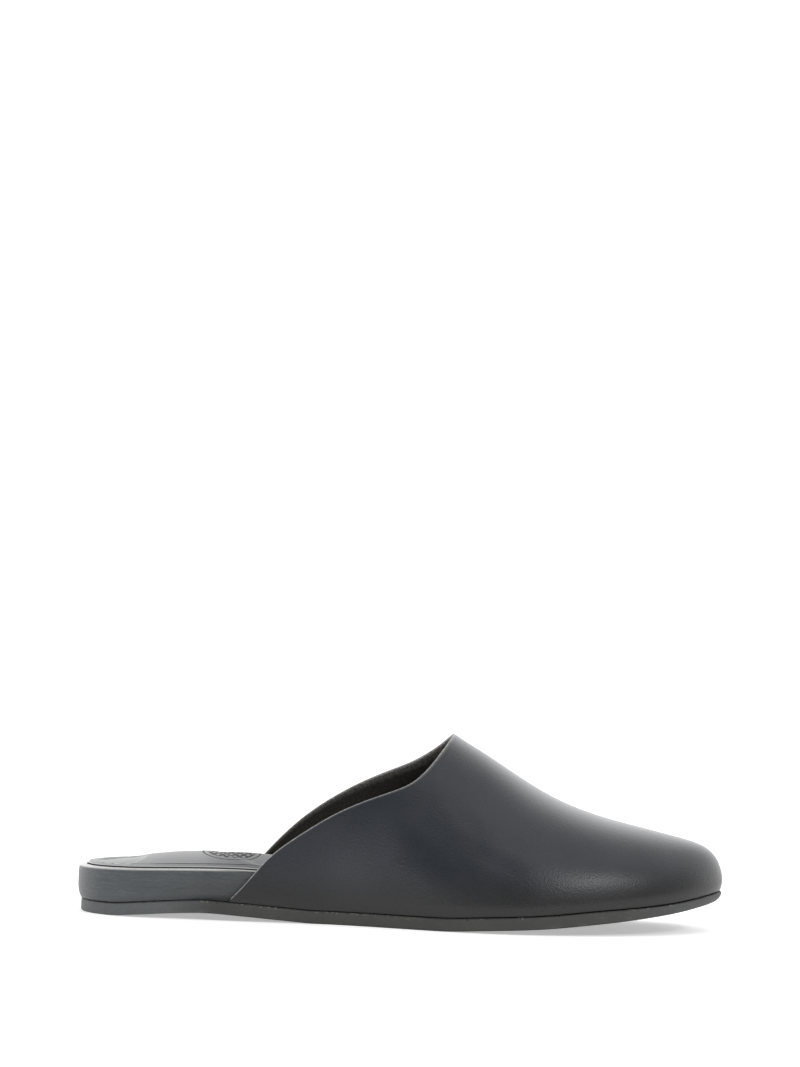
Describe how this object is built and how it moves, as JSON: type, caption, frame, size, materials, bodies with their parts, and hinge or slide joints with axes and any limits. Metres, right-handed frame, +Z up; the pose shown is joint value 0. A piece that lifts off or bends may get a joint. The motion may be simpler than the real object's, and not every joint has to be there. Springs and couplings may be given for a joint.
{
  "type": "mule shoe",
  "caption": "Right slip-on mule shoe, closed toe and open back: hollow leather upper on a leather-wrapped footbed with padded insole and thin rubber outsole.",
  "frame": {"origin": "on the floor under the middle of the shoe's bounding box", "axes": "+Y towards the toe, +X towards the outer side of the foot, +Z up from the sole"},
  "size_m": [0.1028, 0.288, 0.084],
  "materials": {
    "outsole_rubber": "matt, slightly worn sheet rubber",
    "footbed_leather": "satin wrapped leather with fine wrinkles",
    "insole_leather": "smooth satin sock leather, padded",
    "upper_leather": "smooth satin leather, rough flesh side inside"
  },
  "bodies": {
    "root": {"outsole": "outsole_rubber", "footbed": "footbed_leather", "insole": "insole_leather", "upper": "upper_leather"}
  },
  "joints": []
}
